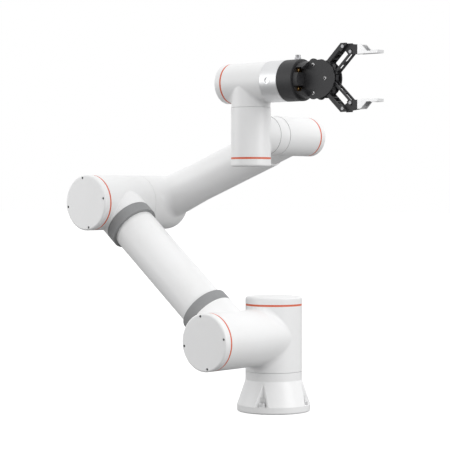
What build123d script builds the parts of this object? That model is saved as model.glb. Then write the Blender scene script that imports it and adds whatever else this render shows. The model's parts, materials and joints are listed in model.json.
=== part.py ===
"""Desktop robot arm with six joints and a two-finger gripper, at its real size in millimetres.

The arm stands on Z = 0, turns about Z at its base, and reaches towards +X. Joints 2, 3 and 4 turn about
lines along Y. The pose is the one in which the arm rests: upper arm up and back, forearm forward.
"""
import os
from math import acos, cos, pi, radians, sin, tan

from build123d import *

# Arm layout
shoulder_height = 152.0
upper_arm_length = 425.0
upper_arm_tilt = 140.4
forearm_length = 381.2
forearm_tilt = 20.7
upper_arm_offset = 133.2
forearm_offset = 13.7
wrist_offset = 107.3
tool_rise = 102.0

# Where the moving seams lie
waist_branch_rise = 70.7
shoulder_seam_offset = 63.8
elbow_seam_offset = 61.4
wrist_seam_offset = 30.6
wrist_turn_seam_rise = 53.2
tool_seam_reach = 52.8
seam_gap = 0.6
waist_seam_height = shoulder_height - waist_branch_rise

# Castings
wall = 5.0
end_wall = 6.0
hub_depth = 5.0
running_fit = 0.05
big_radius = 57.5
big_length = 135.3
big_branch_radius = 56.3
big_blend = 14.0
big_hub_radius = 20.0
small_radius = 39.5
small_length = 99.8
small_branch_radius = 38.7
small_blend = 10.0
small_hub_radius = 14.0

# Rings, caps and their screws
ring_width = 4.0
ring_inset = 0.3
ring_thickness = 3.2
cap_height = 16.3
cap_edge = 4.0
cap_wall = 3.0
ledge_width = 12.0
ledge_thickness = 6.0
cap_screw_edge = 5.7
cap_screw_radius = 1.5
cap_screw_head_radius = 2.5
cap_screw_head = 2.4
cap_screw_sink = 0.8
cap_screw_count = 4
cap_screw_turn = 10.0
boss_radius = 4.6
screw_clearance = 0.1

# Drives inside the joints
cable_bore_share = 0.2
reducer_share = 0.31
reducer_rim_share = 0.75
reducer_back_share = 0.84
motor_share = 0.33
motor_neck_share = 0.1
motor_neck_radius_share = 0.72
motor_radius_share = 0.92
brake_share = 0.14
brake_radius_share = 0.6
drive_clearance = 0.2

# Pedestal
pedestal_radius = 74.5
pedestal_band = 14.0
pedestal_neck = 17.3
pedestal_round = 3.5
pedestal_wall = 9.0
pocket_width = 35.0
pocket_apex_radius = 58.5
bolt_circle_radius = 66.0
bolt_radius = 4.0
bolt_shank_radius = 3.6
bolt_head_radius = 6.5
bolt_head = 8.0
bolt_socket = 3.4
bolt_reach = 16.0
bolt_count = 4
bolt_turn = 19.0
pocket_bore_radius = 7.5
pocket_bore = 18.0
dowel_radius = 4.0
dowel_depth = 10.0
inlet_drop = 43.3
inlet_reach = 76.0
inlet_bore_radius = 7.0
inlet_boss_wall = 8.0
inlet_turn = 154.0

# Upper arm tube and its rubber collars
tube_radius = 45.7
tube_wall = 4.0
collar_radius = 52.0
collar_length = 24.0
lower_collar_start = 68.0
upper_collar_start = 60.0
neck_blend = 7.0
neck_blend_share = 0.8
collar_round = 1.2

# Forearm casting
forearm_radius = 41.0
forearm_root_radius = 46.5
forearm_taper = 120.0
forearm_blend = 20.0
elbow_dome = 30.0
elbow_depth = 119.0
forearm_end = 58.0

# Tool flange
flange_reach = 94.9
flange_radius = 40.4
flange_plate = 8.0
flange_edge = 0.6
flange_centre_radius = 15.75
flange_bolt_circle_radius = 25.0
flange_screw_radius = 3.0
flange_screw_head_radius = 5.0
flange_screw_head = 6.0
connector_radius = 7.0
connector_wall = 1.4
connector_rise = 0.4
connector_reach = 22.0

# Gripper's adaptor and body, measured from the flange's face
outer_root_reach = 97.5
adaptor_length = outer_root_reach - 61.5
adaptor_edge = 1.0
body_radius = 35.5
body_round = 24.0
body_shoulder = 8.0
body_flat_height = 62.0
body_flat_round = 6.0
block_end = outer_root_reach - 19.5
block_lobe_radius = 10.0
window_start = adaptor_length + 1.5
window_length = 16.0
window_height = 10.5
window_rise = 17.7
window_depth = 12.0
slot_start = adaptor_length + 23.0
slot_length = 7.0
slot_height = 8.5
slot_depth = 16.0
fitting_radius = 7.0
fitting_height = 8.5
fitting_reach = 0.64 * adaptor_length
fitting_spigot = 5.0
fitting_seat = 1.2
fitting_wall = 1.5
motor_radius = 17.0
motor_start = 4.0
motor_end = adaptor_length + 9.0

# Gripper's side plates and the arms that guide the rack
plate_thickness = 2.5
plate_inner = 10.8
plate_radius = 36.0
plate_reach = outer_root_reach - 13.9
lobe_radius = 12.0
lobe_reach = outer_root_reach - 27.4
lobe_rise = 26.9
nose_screw_reach = outer_root_reach + 0.6
plate_screw_radius = 2.0
plate_screw_length = 7.5
plate_screw_head_radius = 3.6
plate_screw_head = 0.8
guide_end = outer_root_reach + 8.5
guide_inner = 5.0
guide_half_height = 8.0

# Gripper's linkage
link_length = 55.0
link_angle = 43.7
outer_root_rise = 20.3
inner_root_reach = outer_root_reach + 16.1
inner_root_rise = 9.8
pin_radius = 2.0
pin_head_radius = 3.2
pin_head = 0.6
pin_head_gap = 0.1
pin_seat = 1.5
outer_half_width = 10.5
outer_wall = 2.3
outer_back = 7.8
outer_front = 3.8
outer_nose = 13.0
outer_nose_cut = 2.0
outer_web = 2.4
outer_web_end = 46.0
outer_hub = 9.0
outer_rib = 2.0
outer_ribs = (21.0, 34.0)
inner_half_width = 7.9
inner_wall = 2.7
inner_half_height = 4.4
inner_bars = ((10.0, 13.0), (24.0, 31.0))
link_gap = 0.3
overlap = 1.0

# Gripper's rack and the toothed sectors of the outer links
gear_module = 1.5
gear_teeth = 20
pressure_angle = 20.0
backlash = 0.5
gear_half_width = 4.5
gear_tip = 1.3
gear_root = 1.9
sector_teeth = (-1, 0, 1, 2, 3)
rack_teeth = (-1, 0, 1, 2, 3, 4)
rack_start = outer_root_reach - 21.5
rack_end = outer_root_reach + 19.5
rack_nut_length = 13.0
rack_nut_half_height = 6.5
rack_clearance = 0.4
screw_tip = outer_root_reach - 6.5
screw_radius = 2.0
screw_bore_radius = 2.15
screw_bore_length = 29.0

# Fingertips
tip_reach = outer_root_reach + 74.1
tip_length = 46.0
tip_half_width = 10.0
grip_opening = 84.4
pad_thickness = 4.8
tip_block_length = 15.0
tip_block_thickness = 5.8
gusset_height = 17.8
gusset_top = 7.5
gusset_foot = 20.5
gusset_wall = 3.0
carrier_block = 11.5
carrier_half_width = 4.9
carrier_boss_radius = 5.5
carrier_hub_radius = 4.6
carrier_step = 0.8

# Places worked out from the layout
upper_direction = Vector(cos(radians(upper_arm_tilt)), 0, sin(radians(upper_arm_tilt)))
forearm_direction = Vector(cos(radians(forearm_tilt)), 0, sin(radians(forearm_tilt)))
shoulder_point = Vector(0, 0, shoulder_height)
elbow_point = shoulder_point + upper_direction * upper_arm_length
wrist_point = elbow_point + forearm_direction * forearm_length
tool_axis = wrist_point + Vector(0, -wrist_offset, tool_rise)
flange_face = tool_axis + Vector(flange_reach, 0, 0)
half_gap = seam_gap / 2

# The plane of each joint: its origin is the middle of the moving seam, and Z runs towards the cap
waist = Plane((0, 0, waist_seam_height), x_dir=(1, 0, 0), z_dir=(0, 0, 1))
shoulder = Plane((0, -shoulder_seam_offset, shoulder_height), x_dir=(1, 0, 0), z_dir=(0, -1, 0))
elbow = Plane((elbow_point.X, -elbow_seam_offset, elbow_point.Z), x_dir=(1, 0, 0), z_dir=(0, -1, 0))
wrist_bend = Plane((wrist_point.X, -wrist_seam_offset, wrist_point.Z), x_dir=(1, 0, 0), z_dir=(0, 1, 0))
wrist_turn = Plane(
    (wrist_point.X, -wrist_offset, wrist_point.Z + wrist_turn_seam_rise), x_dir=(1, 0, 0), z_dir=(0, 0, -1)
)
tool_turn = Plane(tool_axis + Vector(tool_seam_reach, 0, 0), x_dir=(0, 1, 0), z_dir=(-1, 0, 0))

# Planes that look along the side branches, each with its origin on the joint's axis
shoulder_branch = Plane(shoulder_point, x_dir=(1, 0, 0), z_dir=(0, -1, 0))
upper_arm = Plane(shoulder_point - Vector(0, upper_arm_offset, 0), x_dir=(0, 1, 0), z_dir=upper_direction)
upper_arm_back = Plane(elbow_point - Vector(0, upper_arm_offset, 0), x_dir=(0, 1, 0), z_dir=-upper_direction)
forearm = Plane(elbow_point + Vector(0, forearm_offset, 0), x_dir=(0, 1, 0), z_dir=forearm_direction)
forearm_back = Plane(wrist_point + Vector(0, forearm_offset, 0), x_dir=(0, 1, 0), z_dir=-forearm_direction)
wrist_branch = Plane(wrist_point - Vector(0, wrist_offset, 0), x_dir=(1, 0, 0), z_dir=(0, 1, 0))
tool_branch = Plane(tool_axis, x_dir=(1, 0, 0), z_dir=(0, 0, -1))
tool = Plane(flange_face, x_dir=(0, 1, 0), z_dir=(1, 0, 0))
side = Plane(flange_face, x_dir=(1, 0, 0), z_dir=(0, -1, 0))
middle = Plane(flange_face, x_dir=(1, 0, 0), z_dir=(0, 0, 1))

os.makedirs("parts", exist_ok=True)


def save(piece, name):
    """Label a finished piece and write it."""
    piece.label = name
    export_step(piece, f"parts/{name}.step")


def disc(plane, radius, start, end, mode=Mode.ADD):
    """A round solid about the plane's axis, between two heights above the plane."""
    with BuildSketch(plane.offset(start)) as profile:
        Circle(radius)
    extrude(profile.sketch, amount=end - start, mode=mode)


def turned(plane, points):
    """A solid turned about the plane's axis, from points of radius and height."""
    section = Plane(plane.origin, x_dir=plane.x_dir, z_dir=-plane.y_dir)
    with BuildSketch(section) as profile:
        with BuildLine():
            Polyline(*points, close=True)
        make_face()
    return revolve(profile.sketch, axis=Axis(plane.origin, plane.z_dir))


def crotch(casting):
    """The edges where a round branch leaves a round barrel."""
    plain = (GeomType.LINE, GeomType.CIRCLE)
    return [edge for edge in casting.edges() if edge.geom_type not in plain]


def pattern(plane, radius, count, turn):
    """Points spread evenly on a circle, as vectors in space."""
    angles = [radians(turn + 360 * index / count) for index in range(count)]
    return [plane.from_local_coords(Vector(radius * cos(a), radius * sin(a), 0)) for a in angles]


def at(plane, point):
    """The plane moved to a point, with its directions kept."""
    return Plane(point, x_dir=plane.x_dir, z_dir=plane.z_dir)


def hollow_barrel(joint, radius, length):
    """Bore a joint's barrel out, leaving a ledge at its far end for the ring and the cap's screws."""
    ledge = length - ring_width / 2 - ledge_thickness
    disc(joint, radius - wall, 0, ledge, Mode.SUBTRACT)
    disc(joint, radius - ledge_width, ledge, length, Mode.SUBTRACT)
    for point in pattern(joint, radius - cap_screw_edge, cap_screw_count, cap_screw_turn):
        disc(at(joint, point), cap_screw_radius + screw_clearance, ledge, length, Mode.SUBTRACT)


def drive_housing(joint, radius, length, branch, branch_radius, reach, blend):
    """A T-shaped casting: a barrel around the joint's drive, with a branch towards the next link."""
    with BuildPart() as casting:
        disc(joint, radius, half_gap, length - ring_width / 2)
        disc(branch, branch_radius, 0, reach)
        fillet(crotch(casting), blend)
        hollow_barrel(joint, radius, length)
        disc(branch, branch_radius - wall, 0, reach - end_wall, Mode.SUBTRACT)
    return casting.part


def drive_ring(joint, radius, length):
    """The coloured ring between a housing and its cap."""
    with BuildPart() as ring:
        low, high = length - ring_width / 2, length + ring_width / 2
        disc(joint, radius - ring_inset, low, high)
        disc(joint, radius - ring_inset - ring_thickness, low, high, Mode.SUBTRACT)
    return ring.part


def drive_cap(joint, radius, length):
    """The cap: a shell with a rounded edge and four screw bosses that stand on the ledge."""
    low, ledge, face = length + ring_width / 2, length - ring_width / 2, length + cap_height
    with BuildPart() as cap:
        disc(joint, radius, low, face)
        rim = cap.edges().filter_by(GeomType.CIRCLE).sort_by(Axis(joint.origin, joint.z_dir))[-1]
        fillet(rim, cap_edge)
        disc(joint, radius - cap_edge, low, face - cap_wall, Mode.SUBTRACT)
        for point in pattern(joint, radius - cap_screw_edge, cap_screw_count, cap_screw_turn):
            place = at(joint, point)
            disc(place, boss_radius, low, face - cap_wall)
            disc(place, ring_free_radius(radius), ledge, low)
            disc(place, cap_screw_radius + screw_clearance, ledge, face, Mode.SUBTRACT)
            head = face - cap_screw_sink - cap_screw_head
            disc(place, cap_screw_head_radius + screw_clearance, head, face, Mode.SUBTRACT)
    return cap.part


def ring_free_radius(radius):
    """How thick a boss may be where it passes inside the ring."""
    return cap_screw_edge - ring_inset - ring_thickness - screw_clearance


def cap_screws(joints):
    """The screws that hold the caps of one link."""
    with BuildPart() as screws:
        for joint, radius, length in joints:
            face = length + cap_height - cap_screw_sink
            low = length - ring_width / 2 - ledge_thickness
            for point in pattern(joint, radius - cap_screw_edge, cap_screw_count, cap_screw_turn):
                place = at(joint, point)
                disc(place, cap_screw_radius, low, face)
                disc(place, cap_screw_head_radius, face - cap_screw_head, face)
    return screws.part


def drive_reducer(joint, radius, length, hub_radius):
    """A strain-wave reducer, whose hub turns in the bore of the neighbouring casting."""
    outer = radius - wall - drive_clearance
    depth = reducer_share * length
    rim = reducer_rim_share * depth
    back = reducer_back_share * outer
    bore = cable_bore_share * radius
    with BuildPart() as reducer:
        turned(joint, [
            (bore, -half_gap - hub_depth), (hub_radius, -half_gap - hub_depth), (hub_radius, half_gap),
            (outer, half_gap), (outer, rim), (back, rim), (back, depth), (bore, depth),
        ])
    return reducer.part


def drive_motor(joint, radius, length):
    """A hollow-shaft motor on the back of the reducer, with its brake and encoder behind it."""
    outer = radius - wall - drive_clearance
    bore = cable_bore_share * radius
    neck_radius, body_width, brake_radius = (
        share * outer for share in (motor_neck_radius_share, motor_radius_share, brake_radius_share)
    )
    front = reducer_share * length
    neck = front + motor_neck_share * length
    back = front + motor_share * length
    end = back + brake_share * length
    with BuildPart() as motor:
        turned(joint, [
            (bore, front), (neck_radius, front), (neck_radius, neck), (body_width, neck),
            (body_width, back), (brake_radius, back), (brake_radius, end), (bore, end),
        ])
    return motor.part


def hub_bore(plane, height, hub_radius):
    """Bore a casting's end wall for a reducer's hub, which ends at the given height."""
    disc(plane, hub_radius + running_fit, height - 2 * end_wall, height + half_gap, Mode.SUBTRACT)


# Base
with BuildPart() as base_pedestal:
    turned(Plane.XY, [
        (0, 0), (pedestal_radius, 0), (pedestal_radius, pedestal_band),
        (big_radius, waist_seam_height - pedestal_neck), (big_radius, waist_seam_height - half_gap),
        (0, waist_seam_height - half_gap),
    ])
    fillet(base_pedestal.edges().filter_by(GeomType.CIRCLE).group_by(Axis.Z)[0], pedestal_round)
    disc(Plane.XY, big_radius - pedestal_wall, 0, waist_seam_height - half_gap - end_wall, Mode.SUBTRACT)
    hub_bore(Plane.XY, waist_seam_height - half_gap, big_hub_radius)
    inlet_plane = Plane(
        (0, 0, waist_seam_height - inlet_drop), x_dir=(0, 0, 1),
        z_dir=(cos(radians(inlet_turn)), sin(radians(inlet_turn)), 0),
    )
    disc(inlet_plane, inlet_bore_radius + inlet_boss_wall, big_radius - pedestal_wall, inlet_reach)
    disc(inlet_plane, inlet_bore_radius, 0, inlet_reach, Mode.SUBTRACT)
    for bolt in range(bolt_count):
        angle = bolt_turn + 360 * bolt / bolt_count
        outward = Vector(cos(radians(angle)), sin(radians(angle)), 0)
        pocket_plane = Plane((0, 0, pedestal_band), x_dir=outward, z_dir=(0, 0, 1))
        outside = 2 * pedestal_radius
        slope = pocket_width / 2 / (pedestal_radius - pocket_apex_radius)
        half_width = slope * (outside - pocket_apex_radius)
        with BuildSketch(pocket_plane) as pocket:
            with BuildLine():
                Polyline(
                    (pocket_apex_radius, 0), (outside, half_width), (outside, -half_width), close=True
                )
            make_face()
        extrude(pocket.sketch, amount=waist_seam_height, mode=Mode.SUBTRACT)
        seat = at(Plane.XY, outward * bolt_circle_radius)
        disc(seat, pocket_bore_radius, pedestal_band, pedestal_band + pocket_bore, Mode.SUBTRACT)
        disc(seat, bolt_radius + screw_clearance, 0, pedestal_band, Mode.SUBTRACT)
    for point in pattern(Plane.XY, bolt_circle_radius, 2, bolt_turn + 180 / bolt_count):
        disc(at(Plane.XY, point), dowel_radius, 0, dowel_depth, Mode.SUBTRACT)
save(base_pedestal.part, "base_pedestal")

with BuildPart() as base_bolts:
    for point in pattern(Plane.XY, bolt_circle_radius, bolt_count, bolt_turn):
        place = at(Plane.XY, point)
        disc(place, bolt_radius, -bolt_reach, 0)
        disc(place, bolt_shank_radius, 0, pedestal_band)
        disc(place, bolt_head_radius, pedestal_band, pedestal_band + bolt_head)
        with BuildSketch(place.offset(pedestal_band + bolt_head / 2)) as socket:
            RegularPolygon(bolt_socket, 6)
        extrude(socket.sketch, amount=bolt_head, mode=Mode.SUBTRACT)
save(base_bolts.part, "base_bolts")

# Shoulder
with BuildPart() as shoulder_housing:
    add(drive_housing(
        waist, big_radius, big_length, shoulder_branch, big_branch_radius,
        shoulder_seam_offset - half_gap, big_blend,
    ))
    hub_bore(shoulder_branch, shoulder_seam_offset - half_gap, big_hub_radius)
save(shoulder_housing.part, "shoulder_housing")

# Upper arm
with BuildPart() as j2_housing:
    add(drive_housing(
        shoulder, big_radius, big_length, upper_arm, collar_radius, lower_collar_start, neck_blend,
    ))
    disc(upper_arm, tube_radius - tube_wall, 0, lower_collar_start, Mode.SUBTRACT)
save(j2_housing.part, "j2_housing")

with BuildPart() as j3_housing:
    add(drive_housing(
        elbow, big_radius, big_length, upper_arm_back, collar_radius, upper_collar_start,
        min(neck_blend, neck_blend_share * (upper_collar_start - big_radius)),
    ))
    disc(upper_arm_back, tube_radius - tube_wall, 0, upper_collar_start, Mode.SUBTRACT)
save(j3_housing.part, "j3_housing")

with BuildPart() as upper_arm_tube:
    top = upper_arm_length - upper_collar_start
    disc(upper_arm, tube_radius, lower_collar_start, top)
    disc(upper_arm, tube_radius - tube_wall, lower_collar_start, top, Mode.SUBTRACT)
save(upper_arm_tube.part, "upper_arm_tube")

with BuildPart() as arm_collars:
    for plane, start in ((upper_arm, lower_collar_start), (upper_arm_back, upper_collar_start)):
        disc(plane, collar_radius, start, start + collar_length)
        disc(plane, tube_radius, start, start + collar_length, Mode.SUBTRACT)
    rims = arm_collars.edges().filter_by(GeomType.CIRCLE)
    outer_rims = [rim for rim in rims if rim.radius > (tube_radius + collar_radius) / 2]
    fillet(outer_rims, collar_round)
save(arm_collars.part, "arm_collars")

# Forearm
with BuildPart() as forearm_casting:
    disc(elbow, big_radius, -elbow_depth, -half_gap)
    rim = forearm_casting.edges().filter_by(GeomType.CIRCLE).sort_by(Axis.Y)[-1]
    fillet(rim, elbow_dome)
    turned(forearm, [
        (0, 0), (forearm_root_radius, 0), (forearm_radius, forearm_taper),
        (forearm_radius, forearm_length - forearm_end), (0, forearm_length - forearm_end),
    ])
    fillet(crotch(forearm_casting), forearm_blend)
    disc(elbow, big_radius - wall, -elbow_depth + elbow_dome, -half_gap - end_wall, Mode.SUBTRACT)
    disc(forearm, forearm_radius - wall, 0, forearm_length - forearm_end, Mode.SUBTRACT)
    disc(elbow, big_hub_radius + running_fit, -half_gap - end_wall, -half_gap, Mode.SUBTRACT)
save(forearm_casting.part, "forearm_casting")

with BuildPart() as j4_housing:
    add(drive_housing(
        wrist_bend, small_radius, small_length, forearm_back, small_branch_radius, forearm_end, small_blend,
    ))
    disc(forearm_back, forearm_radius - wall, 0, forearm_end, Mode.SUBTRACT)
save(j4_housing.part, "j4_housing")

# Wrist
with BuildPart() as wrist_1_housing:
    add(drive_housing(
        wrist_turn, small_radius, small_length, wrist_branch, small_branch_radius,
        wrist_offset - wrist_seam_offset - half_gap, small_blend,
    ))
    hub_bore(wrist_branch, wrist_offset - wrist_seam_offset - half_gap, small_hub_radius)
save(wrist_1_housing.part, "wrist_1_housing")

with BuildPart() as wrist_2_housing:
    reach = tool_rise - wrist_turn_seam_rise - half_gap
    add(drive_housing(
        tool_turn, small_radius, small_length, tool_branch, small_branch_radius, reach, small_blend,
    ))
    hub_bore(tool_branch, reach, small_hub_radius)
save(wrist_2_housing.part, "wrist_2_housing")

# Rings, caps, reducers and motors of the six joints
big, small = (big_radius, big_length), (small_radius, small_length)
for number, (joint, (radius, length)) in enumerate(
    (
        (waist, big), (shoulder, big), (elbow, big),
        (wrist_bend, small), (wrist_turn, small), (tool_turn, small),
    ),
    start=1,
):
    hub_radius = big_hub_radius if radius == big_radius else small_hub_radius
    save(drive_ring(joint, radius, length), f"j{number}_ring")
    save(drive_cap(joint, radius, length), f"j{number}_cap")
    save(drive_reducer(joint, radius, length, hub_radius), f"j{number}_reducer")
    save(drive_motor(joint, radius, length), f"j{number}_motor")
save(cap_screws([(waist, *big)]), "j1_cap_screws")
save(cap_screws([(shoulder, *big), (elbow, *big)]), "arm_cap_screws")
save(cap_screws([(wrist_bend, *small)]), "j4_cap_screws")
save(cap_screws([(wrist_turn, *small)]), "j5_cap_screws")
save(cap_screws([(tool_turn, *small)]), "j6_cap_screws")

# Tool flange
flange_holes = pattern(tool, flange_bolt_circle_radius, 4, 45)
with BuildPart() as tool_flange:
    seam = tool_seam_reach + half_gap - flange_reach
    disc(tool, flange_radius, seam, 0)
    chamfer(tool_flange.edges().filter_by(GeomType.CIRCLE), flange_edge)
    disc(tool, flange_radius - wall, seam + end_wall, -flange_plate, Mode.SUBTRACT)
    disc(tool, small_hub_radius + running_fit, seam, seam + end_wall, Mode.SUBTRACT)
    disc(tool, flange_centre_radius, -flange_plate, 0, Mode.SUBTRACT)
    for point in flange_holes:
        disc(at(tool, point), flange_screw_radius + screw_clearance, -flange_plate, 0, Mode.SUBTRACT)
    socket_plane = Plane(flange_face - Vector(connector_reach, 0, 0), x_dir=(1, 0, 0), z_dir=(0, -1, 0))
    rim_height = flange_radius + connector_rise
    disc(socket_plane, connector_radius, flange_radius - wall, rim_height)
    disc(socket_plane, connector_radius - connector_wall, flange_radius - 2 * wall, rim_height, Mode.SUBTRACT)
save(tool_flange.part, "tool_flange")

# Gripper's adaptor, screwed to the flange through its whole length
fitting_plane = Plane(flange_face + Vector(fitting_reach, 0, 0), x_dir=(1, 0, 0), z_dir=(0, 0, 1))
fitting_floor = flange_radius - fitting_seat
with BuildPart() as gripper_adaptor:
    disc(tool, flange_radius, 0, adaptor_length)
    chamfer(gripper_adaptor.edges().filter_by(GeomType.CIRCLE), adaptor_edge)
    disc(tool, motor_radius + drive_clearance, 0, adaptor_length, Mode.SUBTRACT)
    for point in flange_holes:
        disc(at(tool, point), flange_screw_radius + screw_clearance, 0, adaptor_length, Mode.SUBTRACT)
    disc(fitting_plane, fitting_radius + screw_clearance, fitting_floor, flange_radius, Mode.SUBTRACT)
    disc(fitting_plane, fitting_spigot + screw_clearance, motor_radius, fitting_floor, Mode.SUBTRACT)
save(gripper_adaptor.part, "gripper_adaptor")

with BuildPart() as gripper_connector:
    with BuildSketch(fitting_plane.offset(fitting_floor)) as nut:
        RegularPolygon(fitting_radius, 6)
    extrude(nut.sketch, amount=fitting_height / 2)
    fitting_top = flange_radius + fitting_height
    disc(fitting_plane, fitting_spigot, fitting_floor - fitting_spigot, fitting_top)
    disc(fitting_plane, fitting_spigot - fitting_wall, fitting_floor, fitting_top, Mode.SUBTRACT)
save(gripper_connector.part, "gripper_connector")

with BuildPart() as gripper_mount_screws:
    for point in flange_holes:
        place = at(tool, point)
        disc(place, flange_screw_radius, -flange_plate, adaptor_length + flange_screw_head)
        disc(place, flange_screw_head_radius, adaptor_length, adaptor_length + flange_screw_head)
        with BuildSketch(place.offset(adaptor_length + flange_screw_head / 2)) as socket:
            RegularPolygon(flange_screw_head_radius / 2, 6)
        extrude(socket.sketch, amount=flange_screw_head / 2, mode=Mode.SUBTRACT)
save(gripper_mount_screws.part, "gripper_mount_screws")


def across(outline, inner, outer, mode=Mode.ADD):
    """A flat outline in the gripper's middle plane, as a pair of slabs between two distances from it."""
    for sign in (1, -1):
        low, high = sorted((sign * inner, sign * outer))
        start = outline.moved(Location(side.z_dir * low))
        extrude(start, amount=high - low, dir=side.z_dir, mode=mode)


def through(sketch, half_width, mode=Mode.ADD):
    """A flat outline in the gripper's middle plane, as a slab centred on it."""
    extrude(sketch, amount=half_width, dir=side.z_dir, both=True, mode=mode)


def plate_outline():
    """The side plate: a disc with a lobe round each of its two rear screws."""
    with BuildSketch(side) as outline:
        with Locations((plate_reach, 0)):
            Circle(plate_radius)
        with Locations((lobe_reach, lobe_rise), (lobe_reach, -lobe_rise)):
            Circle(lobe_radius)
    return outline.sketch


def circles(points, radius):
    """Circles in the gripper's middle plane."""
    with BuildSketch(side) as outline:
        with Locations(*points):
            Circle(radius)
    return outline.sketch


plate_screw_points = ((lobe_reach, lobe_rise), (lobe_reach, -lobe_rise), (nose_screw_reach, 0))
root_points = (
    (outer_root_reach, outer_root_rise), (outer_root_reach, -outer_root_rise),
    (inner_root_reach, inner_root_rise), (inner_root_reach, -inner_root_rise),
)
plate_outer = plate_inner + plate_thickness
plate_screw_reach = plate_outer - plate_screw_length

# Gripper's body: a round part with windows, a shoulder, and a block between the side plates
shoulder_start = adaptor_length + body_round
block_start = shoulder_start + body_shoulder
with BuildPart() as gripper_body:
    disc(tool, body_radius, adaptor_length, shoulder_start)
    with BuildSketch(tool.offset(shoulder_start)) as wide:
        Circle(body_radius)
    with BuildSketch(tool.offset(block_start)) as flat:
        RectangleRounded(2 * plate_outer, body_flat_height, body_flat_round)
    loft([wide.sketch, flat.sketch])
    with BuildSketch(side) as block:
        with Locations(((block_start + block_end) / 2, 0)):
            Rectangle(block_end - block_start, 2 * lobe_rise)
        with Locations((lobe_reach, lobe_rise), (lobe_reach, -lobe_rise)):
            Circle(block_lobe_radius)
    through(block.sketch, plate_inner)
    across(plate_outline(), plate_inner, body_radius, Mode.SUBTRACT)
    with BuildSketch(side) as guide:
        with Locations(((block_start + guide_end) / 2, 0)):
            Rectangle(guide_end - block_start, 2 * guide_half_height)
    across(guide.sketch, guide_inner, plate_inner)
    with BuildSketch(side) as windows:
        with Locations(*[(window_start + window_length / 2, sign * window_rise) for sign in (1, -1)]):
            Rectangle(window_length, window_height)
    across(windows.sketch, window_depth, body_radius, Mode.SUBTRACT)
    with BuildSketch(side) as slots:
        with Locations(*[(slot_start + slot_length / 2, sign * window_rise) for sign in (1, -1)]):
            Rectangle(slot_length, slot_height)
    across(slots.sketch, slot_depth, body_radius, Mode.SUBTRACT)
    disc(tool, motor_radius + drive_clearance, adaptor_length, motor_end + drive_clearance, Mode.SUBTRACT)
    for point in flange_holes:
        head_end = window_start + window_length
        disc(at(tool, point), flange_screw_head_radius + link_gap, adaptor_length, head_end, Mode.SUBTRACT)
    with BuildSketch(side) as channel:
        with Locations(((motor_end + block_end) / 2, 0)):
            Rectangle(block_end - motor_end, 2 * (rack_nut_half_height + rack_clearance))
    through(channel.sketch, gear_half_width + rack_clearance, Mode.SUBTRACT)
    screw_holes = circles(plate_screw_points, plate_screw_radius + screw_clearance)
    across(screw_holes, plate_screw_reach, plate_inner, Mode.SUBTRACT)
save(gripper_body.part, "gripper_body")

with BuildPart() as gripper_motor:
    disc(tool, motor_radius, motor_start, motor_end)
    disc(tool, screw_radius, motor_end, screw_tip)
save(gripper_motor.part, "gripper_motor")

with BuildPart() as side_plates:
    across(plate_outline(), plate_inner, plate_outer)
    pin_seats = circles(root_points, pin_radius + running_fit)
    across(screw_holes, plate_inner, plate_outer, Mode.SUBTRACT)
    across(pin_seats, plate_inner, plate_inner + pin_seat, Mode.SUBTRACT)
save(side_plates.part, "side_plates")

with BuildPart() as plate_screws:
    across(circles(plate_screw_points, plate_screw_radius), plate_screw_reach, plate_outer + plate_screw_head)
    across(circles(plate_screw_points, plate_screw_head_radius), plate_outer, plate_outer + plate_screw_head)
save(plate_screws.part, "plate_screws")

with BuildPart() as root_pins:
    through(circles(root_points, pin_radius), plate_inner + pin_seat)
save(root_pins.part, "root_pins")

# Gripper's rack: teeth above and below, pulled by the motor's screw
pitch_radius = gear_module * gear_teeth / 2
tooth_pitch = pi * gear_module
pitch_line = outer_root_rise - pitch_radius
with BuildPart() as drive_rack:
    core = pitch_line - gear_root
    with BuildSketch(side) as bar:
        with Locations(((rack_start + rack_end) / 2, 0)):
            Rectangle(rack_end - rack_start, 2 * core)
        with Locations((rack_start + rack_nut_length / 2, 0)):
            Rectangle(rack_nut_length, 2 * rack_nut_half_height)
        flank = tan(radians(pressure_angle))
        half = tooth_pitch / 4 - backlash / 4
        foot, tip = half + gear_root * flank, half - gear_tip * flank
        for index in rack_teeth:
            middle_reach = outer_root_reach + index * tooth_pitch
            for sign in (1, -1):
                with BuildLine():
                    crest = sign * (pitch_line + gear_tip)
                    Polyline(
                        (middle_reach - foot, sign * core), (middle_reach - tip, crest),
                        (middle_reach + tip, crest), (middle_reach + foot, sign * core), close=True,
                    )
                make_face()
    through(bar.sketch, gear_half_width)
    disc(tool, screw_bore_radius, rack_start, rack_start + screw_bore_length, Mode.SUBTRACT)
save(drive_rack.part, "drive_rack")


def involute(radius, base):
    """The roll angle of an involute at a radius, less its polar angle."""
    roll = acos(min(1.0, base / radius))
    return tan(roll) - roll


def sector_outline():
    """The toothed sector round an outer link's root, with a tooth space straight below the pivot."""
    base = pitch_radius * cos(radians(pressure_angle))
    root, tip = pitch_radius - gear_root, pitch_radius + gear_tip
    half = pi / (2 * gear_teeth) - backlash / (4 * pitch_radius)
    radii = [base, (base + pitch_radius) / 2, pitch_radius, (pitch_radius + tip) / 2, tip]
    flank = [(radius, half + involute(pitch_radius, base) - involute(radius, base)) for radius in radii]
    flank = [(root - overlap / 2, flank[0][1])] + flank
    root_point = side.from_local_coords(Vector(outer_root_reach, outer_root_rise, 0))
    with BuildSketch(at(side, root_point)) as sector:
        Circle(root)
        for index in sector_teeth:
            centre = -pi / 2 + (index + 0.5) * 2 * pi / gear_teeth
            points = [(r * cos(centre - a), r * sin(centre - a)) for r, a in flank]
            points += [(r * cos(centre + a), r * sin(centre + a)) for r, a in reversed(flank)]
            with BuildLine():
                Polyline(*points, close=True)
            make_face()
    return sector.sketch


# Gripper's links, in a plane along each link whose origin is its root pivot
along = Vector(cos(radians(link_angle)), 0, sin(radians(link_angle)))


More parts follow.
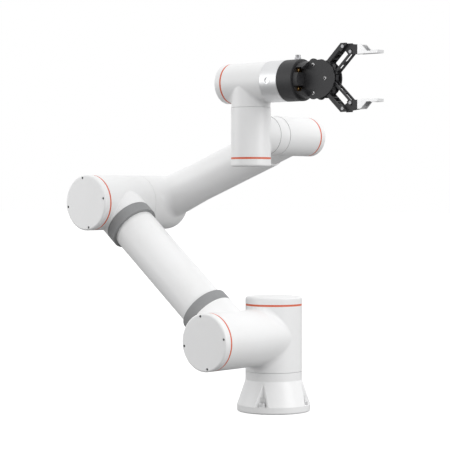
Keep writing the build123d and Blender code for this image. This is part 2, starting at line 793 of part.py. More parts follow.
def link_plane(reach, rise):
    """The plane of an upper link: X along the link, Y away from the gripper's middle."""
    return Plane(side.from_local_coords(Vector(reach, rise, 0)), x_dir=along, z_dir=side.z_dir)


outer_plane = link_plane(outer_root_reach, outer_root_rise)
inner_plane = link_plane(inner_root_reach, inner_root_rise)
inside = outer_half_width - outer_wall


def bar(plane, points, half_width, mode=Mode.ADD):
    """A slab of a polygon, centred on the gripper's middle plane."""
    with BuildSketch(plane) as outline:
        with BuildLine():
            Polyline(*points, close=True)
        make_face()
    through(outline.sketch, half_width, mode)


far = link_length + outer_nose
with BuildPart() as outer_link:
    with BuildSketch(outer_plane) as outline:
        Circle(outer_back)
        with BuildLine():
            Polyline(
                (0, outer_back), (far - outer_back - outer_front, outer_back),
                (far - outer_nose_cut, outer_nose_cut - outer_front),
                (far - 2 * outer_nose_cut, -outer_front),
                (0, -outer_front), close=True,
            )
        make_face()
    through(outline.sketch, outer_half_width)
    web = outer_back - outer_web
    low = -2 * outer_front
    bar(outer_plane, (
        (outer_hub, low), (outer_hub, web), (outer_web_end, web), (outer_web_end, 2 * outer_back),
        (far, 2 * outer_back), (far, low),
    ), inside, Mode.SUBTRACT)
    for place in outer_ribs:
        rib_low, rib_high = overlap - outer_front, web + overlap
        bar(outer_plane, (
            (place, rib_low), (place, rib_high), (place + outer_rib, rib_high), (place + outer_rib, rib_low),
        ), inside + overlap)
    through(sector_outline(), gear_half_width)
    with BuildSketch(outer_plane) as holes:
        with Locations((0, 0), (link_length, 0)):
            Circle(pin_radius + running_fit)
    through(holes.sketch, outer_half_width, Mode.SUBTRACT)
save(outer_link.part, "upper_outer_link")

with BuildPart() as inner_link:
    with BuildSketch(inner_plane) as outline:
        with Locations((link_length / 2, 0)):
            SlotCenterToCenter(link_length, 2 * inner_half_height)
    through(outline.sketch, inner_half_width)
    through(outline.sketch, inner_half_width - inner_wall, Mode.SUBTRACT)
    for low, high in inner_bars:
        thick = inner_half_height - overlap
        bar(inner_plane, (
            (low, -thick), (low, thick), (high, thick), (high, -thick),
        ), inner_half_width - overlap)
    with BuildSketch(inner_plane) as holes:
        with Locations((0, 0), (link_length, 0)):
            Circle(pin_radius + running_fit)
    through(holes.sketch, inner_half_width, Mode.SUBTRACT)
save(inner_link.part, "upper_inner_link")

# Gripper's tip carrier, which the two links keep parallel, and its fingertip
outer_tip = side.to_local_coords(outer_plane.from_local_coords(Vector(link_length, 0, 0)))
inner_tip = side.to_local_coords(inner_plane.from_local_coords(Vector(link_length, 0, 0)))
half_opening = grip_opening / 2
block_back = tip_reach - carrier_block
block_low, block_high = half_opening + carrier_step, half_opening + gusset_height
with BuildPart() as tip_carrier:
    with BuildSketch(side) as outline:
        with Locations((outer_tip.X, outer_tip.Y)):
            Circle(carrier_boss_radius)
        with Locations((inner_tip.X, inner_tip.Y)):
            Circle(inner_tip.Y - block_low)
        with Locations((tip_reach - overlap / 2, (block_low + block_high) / 2)):
            Rectangle(overlap, block_high - block_low)
        make_hull()
    through(outline.sketch, carrier_half_width)
    through(circles([(outer_tip.X, outer_tip.Y)], carrier_hub_radius), inside - link_gap)
    with BuildSketch(side) as block:
        with Locations(((block_back + tip_reach) / 2, (block_low + block_high) / 2)):
            Rectangle(carrier_block, block_high - block_low)
    through(block.sketch, tip_half_width)
    tip_points = [(outer_tip.X, outer_tip.Y), (inner_tip.X, inner_tip.Y)]
    through(circles(tip_points, pin_radius + running_fit), outer_half_width, Mode.SUBTRACT)
save(tip_carrier.part, "upper_tip_carrier")

with BuildPart() as tip_pins:
    for point, half_width in zip(tip_points, (outer_half_width, inner_half_width)):
        through(circles([point], pin_radius), half_width + pin_head_gap)
        under_head = half_width + pin_head_gap
        across(circles([point], pin_head_radius), under_head, under_head + pin_head)
save(tip_pins.part, "upper_tip_pins")

with BuildPart() as fingertip:
    front = tip_reach + tip_length
    pad_top = half_opening + pad_thickness
    bar(side, (
        (tip_reach, half_opening), (front, half_opening), (front, half_opening + tip_block_thickness),
        (front - tip_block_length, half_opening + tip_block_thickness), (front - tip_block_length, pad_top),
        (tip_reach + gusset_foot, pad_top), (tip_reach + gusset_top, half_opening + gusset_height),
        (tip_reach, half_opening + gusset_height),
    ), tip_half_width)
    bar(side, (
        (tip_reach + gusset_wall, pad_top), (tip_reach + gusset_foot, pad_top),
        (tip_reach + gusset_foot, 2 * half_opening), (tip_reach + gusset_wall, 2 * half_opening),
    ), tip_half_width - gusset_wall, Mode.SUBTRACT)
save(fingertip.part, "upper_fingertip")

# The lower finger is the upper one mirrored in the gripper's middle
for name, piece in (
    ("outer_link", outer_link), ("inner_link", inner_link), ("tip_carrier", tip_carrier),
    ("tip_pins", tip_pins), ("fingertip", fingertip),
):
    with BuildPart() as lower:
        mirror(piece.part, about=middle)
    save(lower.part, f"lower_{name}")
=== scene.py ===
"""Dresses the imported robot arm: finishes for every part, fasteners and fittings, light, floor and camera."""
import json
from math import cos, pi, radians, sin

import bmesh
import bpy
from mathutils import Matrix, Vector


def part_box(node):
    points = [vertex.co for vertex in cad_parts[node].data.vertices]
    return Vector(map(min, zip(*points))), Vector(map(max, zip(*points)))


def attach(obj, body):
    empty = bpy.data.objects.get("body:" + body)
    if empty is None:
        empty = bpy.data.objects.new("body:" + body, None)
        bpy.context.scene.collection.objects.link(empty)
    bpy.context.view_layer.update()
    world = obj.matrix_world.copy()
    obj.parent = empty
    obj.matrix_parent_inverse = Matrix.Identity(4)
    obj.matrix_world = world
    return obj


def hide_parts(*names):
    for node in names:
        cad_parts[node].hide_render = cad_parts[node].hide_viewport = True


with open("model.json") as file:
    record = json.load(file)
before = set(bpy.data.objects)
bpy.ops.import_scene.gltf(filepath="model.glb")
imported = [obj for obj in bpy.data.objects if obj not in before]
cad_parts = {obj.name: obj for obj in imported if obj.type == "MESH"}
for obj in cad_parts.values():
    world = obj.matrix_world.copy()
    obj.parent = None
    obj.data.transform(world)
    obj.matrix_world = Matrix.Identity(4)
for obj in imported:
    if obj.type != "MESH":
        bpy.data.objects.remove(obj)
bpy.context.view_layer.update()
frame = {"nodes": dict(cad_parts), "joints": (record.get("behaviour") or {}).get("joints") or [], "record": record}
nodes = frame["nodes"]
MM = 0.001

# The lines that the arm's parts turn about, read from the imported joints
joint = {j["name"]: j for j in frame["joints"]}
waist_axis = Vector(joint["waist_turn"]["pos_m"])
shoulder_axis = Vector(joint["shoulder_lift"]["pos_m"])
elbow_axis = Vector(joint["elbow_bend"]["pos_m"])
wrist_axis = Vector(joint["wrist_bend"]["pos_m"])
wrist_turn_axis = Vector(joint["wrist_turn"]["pos_m"])
tool_axis = Vector(joint["tool_turn"]["pos_m"])
flange_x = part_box("tool_flange")[1].x

bpy.ops.object.select_all(action="DESELECT")


# Node groups that several finishes share

def new_group(name, inputs, outputs):
    """An empty shader node group with its sockets, its tree, its input node and its output node."""
    tree = bpy.data.node_groups.new(name, "ShaderNodeTree")
    for label, kind, value in inputs:
        socket = tree.interface.new_socket(label, in_out="INPUT", socket_type=kind)
        if value is not None:
            socket.default_value = value
    for label, kind in outputs:
        tree.interface.new_socket(label, in_out="OUTPUT", socket_type=kind)
    return tree, tree.nodes.new("NodeGroupInput"), tree.nodes.new("NodeGroupOutput")


def noise(tree, vector, scale, detail=2.0, roughness=0.5):
    """A noise texture on a vector; scale may be a number or a socket."""
    node = tree.nodes.new("ShaderNodeTexNoise")
    tree.links.new(vector, node.inputs["Vector"])
    if isinstance(scale, (int, float)):
        node.inputs["Scale"].default_value = scale
    else:
        tree.links.new(scale, node.inputs["Scale"])
    node.inputs["Detail"].default_value = detail
    node.inputs["Roughness"].default_value = roughness
    return node.outputs["Fac"]


def math_node(tree, operation, first, second=None):
    """A math node; each operand may be a number or a socket."""
    node = tree.nodes.new("ShaderNodeMath")
    node.operation = operation
    for socket, value in zip(node.inputs, (first, second)):
        if value is None:
            continue
        if isinstance(value, (int, float)):
            socket.default_value = value
        else:
            tree.links.new(value, socket)
    return node.outputs[0]


def spread(tree, value, low, high, to_low, to_high):
    """A map range node with its ends clamped."""
    node = tree.nodes.new("ShaderNodeMapRange")
    tree.links.new(value, node.inputs["Value"])
    for label, end in (("From Min", low), ("From Max", high), ("To Min", to_low), ("To Max", to_high)):
        if isinstance(end, (int, float)):
            node.inputs[label].default_value = end
        else:
            tree.links.new(end, node.inputs[label])
    return node.outputs["Result"]


def make_dust_group():
    """Handling marks and settled dust: a soft large-scale mask broken up by a finer one."""
    tree, start, end = new_group(
        "handling_dust",
        [
            ("Vector", "NodeSocketVector", None),
            ("Scale", "NodeSocketFloat", 9.0),
            ("Amount", "NodeSocketFloat", 0.4),
        ],
        [("Mask", "NodeSocketFloat")],
    )
    broad = noise(tree, start.outputs["Vector"], start.outputs["Scale"], 4.0, 0.6)
    fine_scale = math_node(tree, "MULTIPLY", start.outputs["Scale"], 14.0)
    fine = noise(tree, start.outputs["Vector"], fine_scale, 3.0, 0.65)
    patches = spread(tree, broad, 0.42, 0.72, 0.0, 1.0)
    breaks = spread(tree, fine, 0.3, 0.7, 0.25, 1.0)
    both = math_node(tree, "MULTIPLY", patches, breaks)
    tree.links.new(math_node(tree, "MULTIPLY", both, start.outputs["Amount"]), end.inputs["Mask"])
    return tree


def make_grain_group():
    """Fine relief of a sprayed or blasted surface, as a height, with a sparse speck mask."""
    tree, start, end = new_group(
        "fine_grain",
        [("Vector", "NodeSocketVector", None), ("Scale", "NodeSocketFloat", 900.0)],
        [("Height", "NodeSocketFloat"), ("Specks", "NodeSocketFloat")],
    )
    coarse = noise(tree, start.outputs["Vector"], start.outputs["Scale"], 2.0, 0.5)
    finer_scale = math_node(tree, "MULTIPLY", start.outputs["Scale"], 3.1)
    finer = noise(tree, start.outputs["Vector"], finer_scale, 1.0, 0.5)
    broad_part = math_node(tree, "MULTIPLY", coarse, 0.7)
    fine_part = math_node(tree, "MULTIPLY", finer, 0.3)
    tree.links.new(math_node(tree, "ADD", broad_part, fine_part), end.inputs["Height"])
    tree.links.new(spread(tree, finer, 0.62, 0.74, 0.0, 1.0), end.inputs["Specks"])
    return tree


def make_tool_mark_group():
    """Lathe or mill marks: fine bands across one axis, uneven in strength along it."""
    tree, start, end = new_group(
        "tool_marks",
        [
            ("Position", "NodeSocketFloat", 0.0),
            ("Vector", "NodeSocketVector", None),
            ("Pitch", "NodeSocketFloat", 0.0004),
        ],
        [("Height", "NodeSocketFloat"), ("Streaks", "NodeSocketFloat")],
    )
    turns = math_node(tree, "DIVIDE", start.outputs["Position"], start.outputs["Pitch"])
    line = tree.nodes.new("ShaderNodeCombineXYZ")
    tree.links.new(turns, line.inputs["X"])
    bands = noise(tree, line.outputs["Vector"], 1.0, 3.0, 0.7)
    wander = noise(tree, start.outputs["Vector"], 60.0, 2.0, 0.5)
    uneven = math_node(tree, "MULTIPLY", wander, 0.15)
    tree.links.new(math_node(tree, "ADD", bands, uneven), end.inputs["Height"])
    tree.links.new(spread(tree, bands, 0.35, 0.65, 0.0, 1.0), end.inputs["Streaks"])
    return tree


tool_mark_depth = 0.00001
dust_group = make_dust_group()
grain_group = make_grain_group()
tool_mark_group = make_tool_mark_group()


class Finish:
    """A material under construction: its tree, its Principled shader and the object coordinates."""

    def __init__(self, name, roughness, metallic=0.0, specular=0.5, coat=0.0, coat_roughness=0.1):
        self.material = bpy.data.materials.new(name)
        self.material.use_nodes = True
        self.tree = self.material.node_tree
        self.shader = self.tree.nodes["Principled BSDF"]
        self.shader.inputs["Roughness"].default_value = roughness
        self.shader.inputs["Metallic"].default_value = metallic
        self.shader.inputs["Specular IOR Level"].default_value = specular
        self.shader.inputs["Coat Weight"].default_value = coat
        self.shader.inputs["Coat Roughness"].default_value = coat_roughness
        self.place = self.tree.nodes.new("ShaderNodeTexCoord").outputs["Object"]

    def group(self, tree, **values):
        """One of the shared groups, with its inputs set by name."""
        node = self.tree.nodes.new("ShaderNodeGroup")
        node.node_tree = tree
        self.tree.links.new(self.place, node.inputs["Vector"])
        for label, value in values.items():
            socket = node.inputs[label]
            if isinstance(value, (int, float)):
                socket.default_value = value
            else:
                self.tree.links.new(value, socket)
        return node.outputs

    def colour(self, first, second, mask):
        """A colour between two, mixed by a mask; either may be a socket."""
        node = self.tree.nodes.new("ShaderNodeMix")
        node.data_type = "RGBA"
        self.tree.links.new(mask, node.inputs["Factor"])
        for socket, value in ((node.inputs[6], first), (node.inputs[7], second)):
            if isinstance(value, tuple):
                socket.default_value = (*value, 1.0)
            else:
                self.tree.links.new(value, socket)
        return node.outputs[2]

    def bump(self, height, distance):
        """Relief fed to the shader, its depth in metres."""
        node = self.tree.nodes.new("ShaderNodeBump")
        node.inputs["Strength"].default_value = 1.0
        node.inputs["Distance"].default_value = distance
        self.tree.links.new(height, node.inputs["Height"])
        self.tree.links.new(node.outputs["Normal"], self.shader.inputs["Normal"])

    def send(self, value, label):
        """Link a value to one of the shader's inputs."""
        self.tree.links.new(value, self.shader.inputs[label])

    def along(self, axis):
        """The object coordinate along X, Y or Z."""
        split = self.tree.nodes.new("ShaderNodeSeparateXYZ")
        self.tree.links.new(self.place, split.inputs["Vector"])
        return split.outputs[axis]


def satin_paint(name, base, dusty):
    """Sprayed satin paint: a faint orange peel, and dust that dulls it in patches."""
    finish = Finish(name, 0.36, coat=0.15, coat_roughness=0.22)
    grain = finish.group(grain_group, Scale=850.0)
    mask = finish.group(dust_group, Scale=7.0, Amount=0.6)["Mask"]
    finish.send(finish.colour(base, dusty, mask), "Base Color")
    finish.send(spread(finish.tree, mask, 0.0, 0.6, 0.34, 0.46), "Roughness")
    finish.bump(grain["Height"], 0.00003)
    return finish.material


def moulded(name, base, worn, roughness, relief, grain_scale):
    """Moulded plastic or rubber: a fine grain, scuffed paler in patches."""
    finish = Finish(name, roughness)
    grain = finish.group(grain_group, Scale=grain_scale)
    mask = finish.group(dust_group, Scale=22.0, Amount=0.9)["Mask"]
    finish.send(finish.colour(base, worn, mask), "Base Color")
    finish.send(spread(finish.tree, mask, 0.0, 0.8, roughness, roughness + 0.15), "Roughness")
    finish.bump(grain["Height"], relief)
    return finish.material


def cut_metal(name, bright, dull, roughness, axis, pitch):
    """Machined metal, with marks that follow each other along an axis, a pitch apart."""
    finish = Finish(name, roughness, metallic=1.0)
    marks = finish.group(tool_mark_group, Position=finish.along(axis), Pitch=pitch)
    mask = finish.group(dust_group, Scale=30.0, Amount=0.7)["Mask"]
    streaked = finish.colour(bright, dull, marks["Streaks"])
    finish.send(finish.colour(streaked, dull, mask), "Base Color")
    finish.send(spread(finish.tree, mask, 0.0, 0.7, roughness, roughness + 0.14), "Roughness")
    finish.bump(marks["Height"], tool_mark_depth)
    return finish.material


def black_anodise(name, base, rubbed, roughness):
    """Bead-blasted and black anodised aluminium: fine tooth, pale specks and rubbed patches."""
    finish = Finish(name, roughness, metallic=0.0, specular=0.45)
    grain = finish.group(grain_group, Scale=1600.0)
    mask = finish.group(dust_group, Scale=26.0, Amount=0.8)["Mask"]
    speckled = finish.colour(base, rubbed, math_node(finish.tree, "MULTIPLY", grain["Specks"], 0.3))
    finish.send(finish.colour(speckled, rubbed, mask), "Base Color")
    finish.send(spread(finish.tree, mask, 0.0, 0.7, roughness, roughness + 0.12), "Roughness")
    finish.bump(grain["Height"], 0.00002)
    return finish.material


white_paint = satin_paint("white_paint", (0.87, 0.872, 0.875), (0.82, 0.82, 0.815))
orange_ring = moulded("orange_ring", (0.72, 0.135, 0.06), (0.66, 0.17, 0.09), 0.42, 0.00002, 700.0)
collar_rubber = moulded("collar_rubber", (0.27, 0.275, 0.28), (0.33, 0.332, 0.335), 0.58, 0.00005, 1100.0)
black_part = black_anodise("black_anodise", (0.022, 0.022, 0.024), (0.05, 0.05, 0.053), 0.46)
flange_metal = cut_metal("turned_flange", (0.84, 0.845, 0.85), (0.72, 0.725, 0.735), 0.36, "X", 0.0005)
tip_metal = cut_metal("milled_tip", (0.8, 0.8, 0.805), (0.66, 0.665, 0.67), 0.27, "Y", 0.0006)
screw_metal = cut_metal("screw_steel", (0.42, 0.42, 0.43), (0.25, 0.25, 0.26), 0.3, "Y", 0.0003)
rack_metal = cut_metal("blackened_rack", (0.045, 0.045, 0.048), (0.025, 0.025, 0.027), 0.38, "X", 0.0004)
bright_steel = cut_metal("bright_steel", (0.92, 0.92, 0.92), (0.75, 0.75, 0.76), 0.3, "Y", 0.0003)
brass = cut_metal("brass_screw", (0.78, 0.5, 0.2), (0.5, 0.28, 0.1), 0.26, "X", 0.0003)
drive_metal = cut_metal("drive_metal", (0.5, 0.5, 0.51), (0.36, 0.36, 0.37), 0.4, "Z", 0.0006)

finish_of_slot = {
    "white_paint": white_paint,
    "orange_ring": orange_ring,
    "grey_rubber": collar_rubber,
    "flange_aluminium": flange_metal,
    "black_anodised": black_part,
    "tip_aluminium": tip_metal,
    "screw_steel": screw_metal,
    "brass": brass,
    "drive_steel": drive_metal,
    "motor_steel": drive_metal,
    "reducer_metal": drive_metal,
    "rack_steel": rack_metal,
}
for row in frame["record"]["subparts"]:
    obj = nodes[row["node"]]
    obj.data.materials.clear()
    obj.data.materials.append(finish_of_slot[row["material_slot"]])

# Modelling helpers

def edit(mode="FACE"):
    """Edit the active piece, picking faces, edges or vertices."""
    bpy.ops.object.mode_set(mode="EDIT")
    bpy.ops.mesh.select_mode(type=mode)


def pick_faces(test):
    """Select, in edit mode, the faces whose centre and normal pass a test."""
    bpy.ops.mesh.select_mode(type="FACE")
    mesh = bmesh.from_edit_mesh(bpy.context.object.data)
    for face in mesh.faces:
        face.select_set(False)
    for face in mesh.faces:
        if test(face.calc_center_median(), face.normal):
            face.select_set(True)
    bmesh.update_edit_mesh(bpy.context.object.data)


def pick_edges(test):
    """Select, in edit mode, the edges both of whose ends pass a test."""
    bpy.ops.mesh.select_mode(type="EDGE")
    mesh = bmesh.from_edit_mesh(bpy.context.object.data)
    for edge in mesh.edges:
        edge.select_set(False)
    for edge in mesh.edges:
        if all(test(end.co) for end in edge.verts):
            edge.select_set(True)
    bmesh.update_edit_mesh(bpy.context.object.data)


def finish_shape(name, *materials):
    """Close the edit: normals outwards, flat faces kept crisp, materials in their slots."""
    bpy.ops.mesh.select_all(action="SELECT")
    bpy.ops.mesh.normals_make_consistent(inside=False)
    bpy.ops.object.mode_set(mode="OBJECT")
    piece = bpy.context.object
    piece.name = name
    bpy.ops.object.shade_smooth_by_angle(angle=radians(35))
    for material in materials:
        piece.data.materials.append(material)
    return piece


def start_cylinder(radius, bottom, top, vertices=36):
    """A cylinder about Z between two heights, ready to be edited."""
    bpy.ops.object.select_all(action="DESELECT")
    bpy.ops.mesh.primitive_cylinder_add(
        vertices=vertices, radius=radius, depth=top - bottom, location=(0, 0, (top + bottom) / 2)
    )
    bpy.ops.object.transform_apply(location=True)
    edit()


def extrude_by(distance):
    """Extrude the picked region along Z."""
    bpy.ops.mesh.extrude_region_move(TRANSFORM_OT_translate={"value": (0, 0, distance)})


def socket_screw(name, head, socket, shank, knurl, material, inside):
    """A socket screw: head radius and height, socket radius and depth, shank radius and length.

    The top of its head is at the origin, and it points down -Z."""
    head_radius, head_height = head
    socket_radius, socket_depth = socket
    shank_radius, shank_length = shank
    tiny = 0.001 * MM
    start_cylinder(head_radius, -head_height, 0)
    pick_faces(lambda centre, normal: normal.z > 0.9)
    bpy.ops.mesh.bevel(offset=0.09 * head_radius, segments=2)
    pick_faces(lambda centre, normal: normal.z < -0.9)
    bpy.ops.mesh.inset(thickness=head_radius - shank_radius)
    extrude_by(-shank_length)
    if knurl:
        pick_faces(lambda centre, normal: abs(normal.z) < 0.1 and centre.z > -head_height)
        bpy.ops.mesh.inset(thickness=knurl, depth=-knurl, use_individual=True)
    pick_faces(lambda centre, normal: normal.z > 0.99 and centre.z > -tiny)
    bpy.ops.mesh.delete(type="ONLY_FACE")
    bpy.ops.mesh.primitive_circle_add(vertices=6, radius=socket_radius, fill_type="NOTHING")
    pick_edges(lambda end: end.z > -tiny)
    bpy.ops.mesh.bridge_edge_loops()
    pick_edges(lambda end: end.z > -tiny and end.xy.length < socket_radius + tiny)
    extrude_by(-socket_depth)
    bpy.ops.mesh.edge_face_add()
    pick_faces(lambda centre, normal: centre.xy.length < socket_radius and centre.z < -tiny)
    screw = finish_shape(name, material, inside)
    # Faces inside the socket take the second material: a near-black finish that is painted shade in the hex
    # recess.
    for face in screw.data.polygons:
        if Vector(face.center).xy.length < socket_radius and -head_height < face.center.z < -tiny:
            face.material_index = 1
    return screw


def copies(model, name, places, body, *replaced):
    """One piece made of copies of a model, each at a point, its Z turned to a direction and spun about it."""
    made = []
    for point, direction, turn in places:
        copy = bpy.data.objects.new(name, model.data.copy())
        bpy.context.scene.collection.objects.link(copy)
        turned = Vector(direction).to_track_quat("Z", "Y").to_matrix().to_4x4()
        copy.data.transform(Matrix.Translation(point) @ turned @ Matrix.Rotation(turn, 4, "Z"))
        made.append(copy)
    bpy.ops.object.select_all(action="DESELECT")
    for copy in made:
        copy.select_set(True)
    bpy.context.view_layer.objects.active = made[0]
    if len(made) > 1:
        bpy.ops.object.join()
    piece = bpy.context.view_layer.objects.active
    piece.name = name
    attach(piece, body)
    if replaced:
        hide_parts(*replaced)
    return piece


def round_pattern(centre, direction, first, radius, count, start):
    """Points evenly round a line, counted from a first direction at right angles to it."""
    second = Vector(direction).cross(Vector(first))
    angles = [start + 2 * pi * index / count for index in range(count)]
    return [Vector(centre) + radius * (cos(a) * Vector(first) + sin(a) * second) for a in angles]


# Cap screws: the cap's face is the far end of its node's box
# Socket walls and floors get a near-black finish, painted shade in the hex recesses rather than the screws' own
# steel colour.
socket_painted_shade = black_anodise("socket_shadow", (0.01, 0.01, 0.01), (0.03, 0.03, 0.03), 0.6)
cap_screw_head = (2.5 * MM, 2.4 * MM)
cap_screw_socket = (1.35 * MM, 1.5 * MM)
cap_screw_shank = (1.5 * MM, 19.0 * MM)
cap_screw_model = socket_screw(
    "cap_screw", cap_screw_head, cap_screw_socket, cap_screw_shank, 0, screw_metal, socket_painted_shade
)
cap_screw_count = 4
screw_sink = 0.8 * MM
screw_start = radians(10)
screw_turn = 0.6


def cap_places(cap, axis_point, direction, first, circle):
    """Where a cap's four screws sit, from the cap's own box."""
    low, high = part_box(cap)
    direction = Vector(direction)
    face = max(low.dot(direction), high.dot(direction)) - screw_sink
    centre = Vector(axis_point)
    centre += direction * (face - centre.dot(direction))
    points = round_pattern(centre, direction, first, circle, cap_screw_count, screw_start)
    return [(point, direction, screw_turn) for point in points]


big_circle, small_circle = 51.8 * MM, 33.8 * MM
along_x, along_y, upward = (1, 0, 0), (0, 1, 0), (0, 0, 1)
j1_places = cap_places("j1_cap", waist_axis, upward, along_x, big_circle)
j2_places = cap_places("j2_cap", shoulder_axis, (0, -1, 0), along_x, big_circle)
j3_places = cap_places("j3_cap", elbow_axis, (0, -1, 0), along_x, big_circle)
j4_places = cap_places("j4_cap", wrist_axis, along_y, along_x, small_circle)
j5_places = cap_places("j5_cap", wrist_turn_axis, (0, 0, -1), along_x, small_circle)
j6_places = cap_places("j6_cap", tool_axis, (-1, 0, 0), along_y, small_circle)
copies(cap_screw_model, "waist_cap_screws", j1_places, "shoulder", "j1_cap_screws")
copies(cap_screw_model, "upper_arm_cap_screws", j2_places + j3_places, "upper_arm", "arm_cap_screws")
copies(cap_screw_model, "wrist_bend_cap_screws", j4_places, "forearm", "j4_cap_screws")
copies(cap_screw_model, "wrist_turn_cap_screws", j5_places, "wrist_1", "j5_cap_screws")
copies(cap_screw_model, "tool_turn_cap_screws", j6_places, "wrist_2", "j6_cap_screws")

# Base bolts, their heads standing on the pockets' floors
bolt_low, bolt_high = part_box("base_bolts")
bolt_head_height = 8 * MM
bolt_head = (6.5 * MM, bolt_head_height)
bolt_socket = (3.4 * MM, 4 * MM)
bolt_shank = (4 * MM, bolt_high.z - bolt_low.z - bolt_head_height)
bolt_knurl = 0.22 * MM
bolt_circle = 66 * MM
bolt_start = radians(19)
bolt_turn = 0.3
bolt_model = socket_screw(
    "base_bolt", bolt_head, bolt_socket, bolt_shank, bolt_knurl, bright_steel, socket_painted_shade
)
bolt_points = round_pattern((0, 0, bolt_high.z), upward, along_x, bolt_circle, 4, bolt_start)
bolt_places = [(point, upward, bolt_turn) for point in bolt_points]
copies(bolt_model, "base_socket_bolts", bolt_places, "base", "base_bolts")

# Brass screws that hold the gripper to the flange, seen through the body's windows
mount_low, mount_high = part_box("gripper_mount_screws")
mount_head_height = 6 * MM
mount_head = (5 * MM, mount_head_height)
mount_socket = (2.5 * MM, 3 * MM)
mount_shank = (3 * MM, mount_high.x - mount_low.x - mount_head_height)
mount_knurl = 0.18 * MM
mount_circle = 25 * MM
mount_start = radians(45)
mount_turn = 0.2
mount_screw_model = socket_screw(
    "mount_screw", mount_head, mount_socket, mount_shank, mount_knurl, brass, socket_painted_shade
)
mount_centre = (mount_high.x, tool_axis.y, tool_axis.z)
mount_points = round_pattern(mount_centre, along_x, along_y, mount_circle, 4, mount_start)
mount_places = [(point, along_x, mount_turn) for point in mount_points]
copies(mount_screw_model, "gripper_socket_screws", mount_places, "tool", "gripper_mount_screws")

# Side plate screws, on both sides
plate_low, plate_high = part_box("plate_screws")
plate_head = (3.6 * MM, 1.5 * MM)
plate_socket = (1.6 * MM, 1.3 * MM)
plate_shank = (2 * MM, 6.2 * MM)
plate_turn = 0.4
lobe_reach, lobe_rise, nose_reach = 70.1 * MM, 26.9 * MM, 98.1 * MM
plate_screw_model = socket_screw(
    "plate_screw", plate_head, plate_socket, plate_shank, 0, bright_steel, socket_painted_shade
)
plate_places = []
for reach, rise in ((lobe_reach, lobe_rise), (lobe_reach, -lobe_rise), (nose_reach, 0)):
    for sign in (1, -1):
        side_y = plate_high.y if sign > 0 else plate_low.y
        plate_places.append(((flange_x + reach, side_y, tool_axis.z + rise), (0, sign, 0), plate_turn))
copies(plate_screw_model, "side_plate_screws", plate_places, "tool", "plate_screws")

for model in (cap_screw_model, bolt_model, mount_screw_model, plate_screw_model):
    bpy.data.objects.remove(model)

# Wrist 1 has a second seam round its neck: a thin dark grey ring on the surface, painted shade standing in for the
# seam's groove
seam_radius, seam_width = 39.2 * MM, 0.5 * MM
seam_y = -60.4 * MM
start_cylinder(seam_radius, -seam_width / 2, seam_width / 2, vertices=96)
seam_shade_model = finish_shape("seam_shade_ring", collar_rubber)
seam_place = (wrist_axis.x, seam_y, wrist_axis.z)
copies(seam_shade_model, "wrist_seam_shade_ring", [(seam_place, along_y, 0)], "wrist_1")
bpy.data.objects.remove(seam_shade_model)

# Connector in the flange's side: a plug face just inside its rim
plug_radius = 5.5 * MM
plug_bottom, plug_top = -2.8 * MM, -1.6 * MM
connector_reach = 22 * MM
start_cylinder(plug_radius, plug_bottom, plug_top)
plug_model = finish_shape("plug_face", flange_metal)
plug_place = (flange_x - connector_reach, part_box("tool_flange")[0].y, tool_axis.z)
copies(plug_model, "flange_plug", [(plug_place, (0, -1, 0), 0)], "tool")
bpy.data.objects.remove(plug_model)

# Gripper's links, opened between their eyes as the real ones are, so that light shows through them
link_slope = radians(43.7)
inner_root = (113.6 * MM, 9.8 * MM)
outer_root = (97.5 * MM, 20.3 * MM)
inner_window = ((7 * MM, 48 * MM), (-0.1 * MM, 9 * MM))
outer_window = ((13 * MM, 45 * MM), (-9 * MM, 0.4 * MM))
window_depth = 40 * MM
window_bevel = 1 * MM
weld_distance = 0.01 * MM


def make_active(piece):
    """Select one piece alone and make it the active one."""
    bpy.ops.object.select_all(action="DESELECT")
    piece.select_set(True)
    bpy.context.view_layer.objects.active = piece


def opened_link(source, name, body, root, sign, window):
    """A link's own mesh with a window cut between its eyes: the window's ends along it and its heights."""
    (start, end), (bottom, top) = window
    reach, rise = root
    piece = nodes[source].copy()
    piece.data = nodes[source].data.copy()
    bpy.context.scene.collection.objects.link(piece)
    make_active(piece)
    edit("VERT")
    bpy.ops.mesh.select_all(action="SELECT")
    bpy.ops.mesh.remove_doubles(threshold=weld_distance)
    bpy.ops.object.mode_set(mode="OBJECT")
    piece.name = name
    bpy.ops.object.select_all(action="DESELECT")
    bpy.ops.mesh.primitive_cube_add(size=1)
    cutter = bpy.context.object
    cutter.scale = (end - start, window_depth, top - bottom)
    bpy.ops.object.transform_apply(scale=True)
    pivot = Vector((flange_x + reach, tool_axis.y, tool_axis.z + sign * rise))
    middle = Vector(((start + end) / 2, 0, sign * (bottom + top) / 2))
    turned = Matrix.Rotation(-sign * link_slope, 4, "Y")
    cutter.data.transform(Matrix.Translation(pivot) @ turned @ Matrix.Translation(middle))
    bevel = cutter.modifiers.new("corners", "BEVEL")
    bevel.width = window_bevel
    bevel.segments = 3
    cut = piece.modifiers.new("window", "BOOLEAN")
    cut.operation = "DIFFERENCE"
    cut.solver = "EXACT"
    cut.object = cutter
    make_active(piece)
    bpy.ops.object.modifier_apply(modifier=cut.name)
    bpy.ops.object.shade_smooth_by_angle(angle=radians(30))
    bpy.data.objects.remove(cutter)
    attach(piece, body)
    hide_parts(source)


for end_name, sign in (("upper", 1), ("lower", -1)):
    inner, outer = f"{end_name}_inner", f"{end_name}_outer"
    opened_link(f"{inner}_link", f"{inner}_bar", inner, inner_root, sign, inner_window)
    opened_link(f"{outer}_link", f"{outer}_arm", outer, outer_root, sign, outer_window)

# Floor, light and camera
floor_height = -0.5 * MM
floor_size = 60
floor_in_mirrors, sky_in_mirrors = 0.12, 0.9
ambient = 1.0
lamp_width = 1.8
right_power, left_power = 34, 15


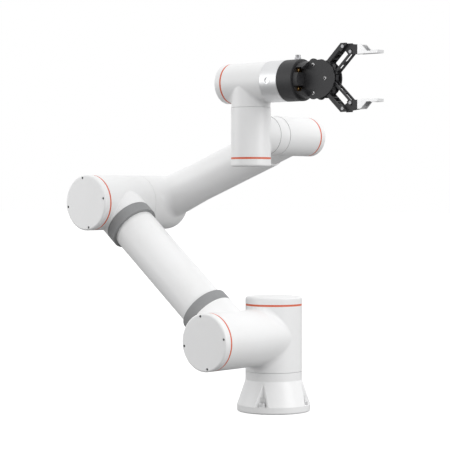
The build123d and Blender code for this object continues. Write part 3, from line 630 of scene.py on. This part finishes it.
def pale_surface(name, colour, lift):
    """A matt studio surface, lifted towards white where the camera or a reflection sees it."""
    material = bpy.data.materials.new(name)
    material.use_nodes = True
    tree = material.node_tree
    shader = tree.nodes["Principled BSDF"]
    shader.inputs["Base Color"].default_value = (colour, colour, colour, 1.0)
    shader.inputs["Roughness"].default_value = 0.9
    shader.inputs["Emission Color"].default_value = (1.0, 1.0, 1.0, 1.0)
    path = tree.nodes.new("ShaderNodeLightPath")
    mirrored = math_node(tree, "MULTIPLY", path.outputs["Is Glossy Ray"], floor_in_mirrors)
    seen = math_node(tree, "MAXIMUM", path.outputs["Is Camera Ray"], mirrored)
    seen = math_node(tree, "MAXIMUM", seen, path.outputs["Is Transmission Ray"])
    tree.links.new(math_node(tree, "MULTIPLY", seen, lift), shader.inputs["Emission Strength"])
    return material


bpy.ops.mesh.primitive_plane_add(size=floor_size, location=(0, 0, floor_height))
floor = bpy.context.object
floor.name = "studio_floor"
bpy.ops.object.transform_apply(location=True)
floor.data.materials.append(pale_surface("studio_floor", 0.22, 0.93))

world = bpy.data.worlds.new("studio")
bpy.context.scene.world = world
world.use_nodes = True
sky = world.node_tree
background = sky.nodes["Background"]
background.inputs["Color"].default_value = (1.0, 1.0, 1.0, 1.0)
path = sky.nodes.new("ShaderNodeLightPath")
seen = math_node(sky, "MAXIMUM", path.outputs["Is Camera Ray"], path.outputs["Is Transmission Ray"])
mirrored = math_node(sky, "MULTIPLY", path.outputs["Is Glossy Ray"], sky_in_mirrors)
seen = math_node(sky, "MAXIMUM", seen, mirrored)
sky.links.new(spread(sky, seen, 0.0, 1.0, ambient, 1.0), background.inputs["Strength"])


def softbox(name, place, target, width, power):
    """A square area light aimed at a point."""
    light = bpy.data.lights.new(name, "AREA")
    light.shape = "SQUARE"
    light.size = width
    light.energy = power
    lamp = bpy.data.objects.new(name, light)
    bpy.context.scene.collection.objects.link(lamp)
    lamp.location = place
    lamp.rotation_euler = (Vector(target) - Vector(place)).to_track_quat("-Z", "Y").to_euler()


middle_of_arm = (0.0, 0.0, 0.4)
softbox("right", (3.0, 0.3, 1.3), middle_of_arm, lamp_width, right_power)
softbox("left", (-2.4, -2.0, 1.0), middle_of_arm, lamp_width, left_power)

camera_data = bpy.data.cameras.new("camera")
camera_data.lens = 135.13
camera_data.sensor_width = 36.0
camera = bpy.data.objects.new("camera", camera_data)
bpy.context.scene.collection.objects.link(camera)
camera.location = (2.16569, -2.66805, 0.43898)
camera.rotation_euler = (radians(88.98), 0.0, radians(40.72))
bpy.context.scene.camera = camera
bpy.context.scene.view_settings.view_transform = "Standard"
